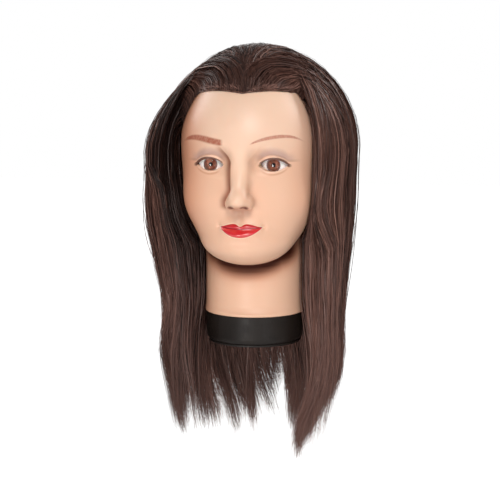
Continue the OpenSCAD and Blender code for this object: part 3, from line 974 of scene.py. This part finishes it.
def strand_part(rng, paths, facing, shade, width=(0.28, 0.75)):
    """Ribbons of random widths along paths, a few of them bold."""
    count, steps = paths.shape[:2]
    roll = rng.normal(0, 0.5, (count, 1)) + wander(rng, count, np.linspace(0, 3, steps)[None], 0.35)
    bold = rng.random(count) < 0.14
    widths = rng.uniform(*width, count) * np.where(bold, 1.7, 1) * 1
    shade = shade + np.where(bold, rng.choice([-0.7, 0.8], count), 0)
    points, faces, place = ribbons(paths, facing, widths, roll)
    return points, faces, np.repeat(shade, steps * 2), np.repeat(place.ravel(), 2)


def shade_sheet(grid):
    """A dark sheet of painted shade over a grid of points."""
    rows, columns = grid.shape[:2]
    count = rows * columns
    faces = grid_faces(rows, columns, ring=False)
    return grid.reshape(-1, 3), faces, np.full(count, SHADE_SHEET_TONE), np.zeros(count)


def under_part(az0, az1, top_el, low_z, depth):
    """The dark sheet of painted shade inside falling hair, from its top down to a ragged lower edge."""
    az = np.linspace(az0, az1, 28)[None]
    t = np.linspace(0, 1, 12)[:, None]
    head = on_head(aim(az, top_el * (1 - t)), depth * smooth(0.3 + t * 3))
    ragged = low_z + 8 * np.sin(az * 23) + 6 * np.sin(az * 41 + 1)
    z = CORE[2] + (ragged - CORE[2]) * np.linspace(0, 1, 30)[1:, None]
    return shade_sheet(np.concatenate([head, gather(falling(tuck(az, z), z, depth))]))


def lock_lines(seed, per_side, stray, low):
    """Lines round the head that the ends gather on: angle, layer, lean and height of the tip."""
    rng = np.random.default_rng(seed)
    lines = []
    for side, _ in SIDES:
        edge = np.degrees(FRONT_AZ[side])
        # the front locks end higher on the right, and there is a notch behind the neck
        front_rise, notch_turn = (20, 7) if side < 0 else (-6, 0)
        for angle in np.linspace(edge + 3, 174, per_side):
            short = front_rise * (1 - smooth((angle - 80) / 25))
            az = side * deg(angle + rng.uniform(-3.5, 3.5))
            notch = 42 * gauss((176 - angle + notch_turn) / 11)
            tip = max(rng.uniform(low, low + 24) + short, low) + notch
            lines.append((az, rng.uniform(0.3, 1.1), rng.normal(0, stray), tip))
    return np.array(lines).T


# Lines of the locks, and of the thin wisps that stray from them
LINES = lock_lines(5, 11, 0.06, -124)
WISPS = lock_lines(6, 12, 0.3, -125)


def long_hair(rng, over, fall_az, layer, root, via, raised, seed):
    """Strands that gather on the lines and end at least raised above their tips. seed moves the
    streaks, and the rest is as in strand_paths."""
    count = len(fall_az)
    wisp = rng.random(count) < 0.2
    nearest = []
    for lines in (LINES, WISPS):
        gap = np.abs(fall_az[:, None] - lines[0][None])
        nearest.append(lines[:, (gap + rng.uniform(0, 0.1, gap.shape)).argmin(1)])
    line_az, line_layer, line_lean, line_tip = np.where(wisp, nearest[1], nearest[0])
    low_z = line_tip + raised
    # most tips are near the lock's, and those away from its line end higher
    length = np.where(wisp, 62, 116) * rng.random(count) ** 1.35
    tip_z = low_z + 11 * np.abs(fall_az - line_az) / 0.12 + length
    loose = rng.random(count) < 0.08
    pull = np.where(loose, rng.uniform(0, 0.5, count), rng.uniform(0.82, 1, count))
    layer = layer + np.where(loose, rng.uniform(-0.04, 0.12, count), 0)
    target = line_az + rng.normal(0, 0.011, count) * np.where(loose, 8, 1)
    clump = target, line_layer + rng.normal(0, 0.05, count), line_lean, low_z
    lock = ((fall_az * 40 + rng.normal(0, 0.7, count)).astype(int)) % LOCKS
    paths, facing = strand_paths(rng, over, root, via, fall_az, layer, tip_z, clump, pull, lock)
    shade = rng.normal(0, 0.6, count) + 0.35 * tone(fall_az, 1.7 + seed) + 0.4 * tone(line_az * 7, seed)
    # painted shade: darker at the front edge, most on the right
    right = fall_az < 0
    shade -= np.where(right, 1.3, 0.3) * (1 - smooth(past_front(fall_az) / deg(13)))
    # painted light: the left side a little lighter and the right a little darker
    shade += np.where(right, -0.12, 0.12)
    return strand_part(rng, paths, facing, shade)


def above_hairline(az, el):
    """Roots at the temples stay behind the hairline."""
    return np.where(np.abs(az) < deg(78), np.maximum(el, hairline_el(az) + 0.01), el)


def build_long(side, name, place):
    """The long hair over an ear, or of one half of the back. Strands rooted lower lie deeper."""
    front, ear_end = FRONT_AZ[side], SIDE_AZ + 0.03
    over_ear = place == "side"
    if over_ear:
        seed, start, end, stray = 11, front - 0.02 * (ear_end - front), ear_end, 0.03
        top, drop, deeper, least = 78, 60, 0.8, 0.03
        under = under_part(side * (front + 0.05), side * ear_end, 1.2, -5, 0.35)
    else:
        seed, start, end, stray = 21, SIDE_AZ, np.pi + 0.03, 0.05
        top, drop, deeper, least = 80, 70, 0.6, 0.3
        under = under_part(side * SIDE_AZ, side * np.pi, 1.35, 5, 0.5)
    rng = np.random.default_rng(seed + side)
    count = 4100 // FEWER
    fall = side * rng.uniform(start, end, count)
    low = rng.random(count) ** 1.3
    root_az = fall + rng.normal(side * 0.05 * over_ear, stray, count)
    root_el = above_hairline(root_az, deg(top) - deg(drop) * low)
    via = aim(root_az if over_ear else fall, root_el * 0.75)
    layer = np.clip(1 - deeper * low + rng.normal(0, 0.07, count), least, 1.0)
    strands = long_hair(rng, 9, fall, layer, aim(root_az, root_el), via, 0, side)
    hair_mesh("hair_" + name + "_" + place, [strands, under], "hair_" + place + "_" + name)


def build_nape(side, name):
    """The hair rooted low on the back of the head, inside the back's fall."""
    rng = np.random.default_rng(31 + side)
    count = 3000 // FEWER
    fall = side * rng.uniform(SIDE_AZ - 0.12, np.pi, count)
    root = aim(fall, deg(rng.uniform(1, 12, count)))
    layer = rng.uniform(0.02, 0.42, count)
    strands = long_hair(rng, 4, fall, layer, root, root, 8, side)
    hair_mesh("hair_" + name + "_nape", [strands], "hair_nape_" + name)


def build_front(side, name):
    """Hair from the hairline and the top: it rises, arches over and falls at the side."""
    rng = np.random.default_rng(41 + side)
    count = 3500 // FEWER
    turn = rng.random(count) ** 1.25
    front = FRONT_AZ[side]
    root_az = deg(-4) + (front + deg(3)) * turn
    back = rng.random(count) ** 1.7
    low = hairline_el(root_az) + 0.006
    root_el = low + (deg(78) - low) * back
    fall = front + deg(50) * (1 - turn) ** 0.8 + np.abs(rng.normal(0, 0.06, count))
    straight = (root_az < deg(12)) & (rng.random(count) < 0.7)
    fall = np.where(straight, deg(rng.uniform(100, 183, count)), fall)
    via_az = root_az + deg(4 + 22 * turn)
    via_el = root_el + (deg(88) - root_el) * (0.75 - 0.5 * turn)
    via_el = np.where(straight, deg(96), via_el)
    via_az = np.where(straight, root_az * 0.5, via_az)
    root = aim(side * root_az, root_el)
    via = aim(side * via_az, via_el) * 1.05
    layer = np.clip(1.0 - 0.4 * back + rng.normal(0, 0.06, count), 0.4, 1.04)
    strands = long_hair(rng, 14, side * fall, layer, root, via, 4, side)
    hair_mesh("hair_" + name + "_front", [strands, front_under(side)], "hair_front_" + name)


def front_under(side):
    """The dark sheet of painted shade under the hair from the hairline up to the crown."""
    az = side * np.linspace(0, FRONT_AZ[side] + 0.06, 24)[None]
    t = np.linspace(0, 1, 16)[:, None]
    low = hairline_el(az) + deg(2.5)
    el = low + (deg(86) - low) * t
    return shade_sheet(on_head(aim(az, el), 0.02 + 0.2 * smooth(t * 2)))


def build_crown():
    """Hair rooted round the whorl, which falls over the sides and the back."""
    rng = np.random.default_rng(51)
    count = 3700 // FEWER
    fall = rng.uniform(deg(62), deg(186), count) * rng.choice([-1, 1], count)
    root_az = fall * rng.random(count)
    root = aim(root_az, deg(rng.uniform(64, 89, count)))
    via = aim(fall * 0.9, deg(64) + rng.normal(0, 0.06, count)) * 1.1
    layer = np.clip(0.93 + rng.normal(0, 0.07, count), 0.6, 1.05)
    strands = long_hair(rng, 12, fall, layer, root, via, 8, 0)
    hair_mesh("hair_top", [strands], "hair_crown")


def build_hairline():
    """The short fine hair of the hairline, combed up and back from its roots."""
    rng = np.random.default_rng(61)
    count = 4200 // FEWER
    az = rng.uniform(-FRONT_AZ[-1], FRONT_AZ[1], count)
    el = hairline_el(az) + deg(2.2) * rng.random(count) ** 1.6 - deg(0.4)
    rise = deg(2.5 + 12 * rng.random(count) ** 1.5)
    lean = deg(2 + 20 * np.abs(az) / deg(50)) * np.sign(az) + rng.normal(0, 0.05, count)
    t = np.linspace(0, 1, 8)[None]
    way = aim(az[:, None] + lean[:, None] * t ** 1.4, el[:, None] + rise[:, None] * t)
    paths = on_head(way, -0.5 + rng.uniform(0.6, 1.15, (count, 1)) * t ** 0.8)
    strands = strand_part(rng, paths, way, 0.85 + rng.normal(0, 0.6, count), (0.25, 0.5))
    hair_mesh("hair_line", [strands], "hairline_row")


def hair_material():
    """Brown hair: dark at the root, paler towards the tip, streaked by each strand's tone, and near black
    on the sheets of painted shade.
    """
    s = Shader("hair")
    shade, place = s.stored("tone", "place")
    fleck = s.noise(260, 2, (1, 1, 0.06))
    colour = s.paint(rgb(34, 20, 17), rgb(90, 59, 50), s.step(shade, -1.1, 0.2))
    for tint, mask in (
        ((150, 110, 97), s.step(shade, 0.2, 1.4)),
        ((40, 24, 20), s.step(place, 0.12, 0.0, 0, 0.6)),
        ((162, 122, 112), s.step(place, 0.5, 0.9, 0, 0.36)),
        ((30, 18, 16), s.step(fleck, 0.35, 0.65, 0.25, 0)),
        # painted shade: near black on the sheets inside the hair
        ((18, 11, 9), s.step(shade, SHADE_SHEET_TONE + 0.2, SHADE_SHEET_TONE + 0.1)),
    ):
        colour = s.paint(colour, rgb(*tint), mask)
    s.principled(
        Base_Color=colour,
        Roughness=s.step(fleck, 0.3, 0.7, 0.34, 0.46),
        Specular_IOR_Level=0.4,
        Specular_Tint=(1.0, 0.84, 0.8, 1),
    )
    return s.material


place_camera()
light_scene()
lay_floor()
build_head()
dress_parts()
HAIR_MATERIAL = hair_material()
for turn, word in SIDES:
    build_long(turn, word, "side")
    build_long(turn, word, "back")
    build_nape(turn, word)
    build_front(turn, word)
build_crown()
build_hairline()
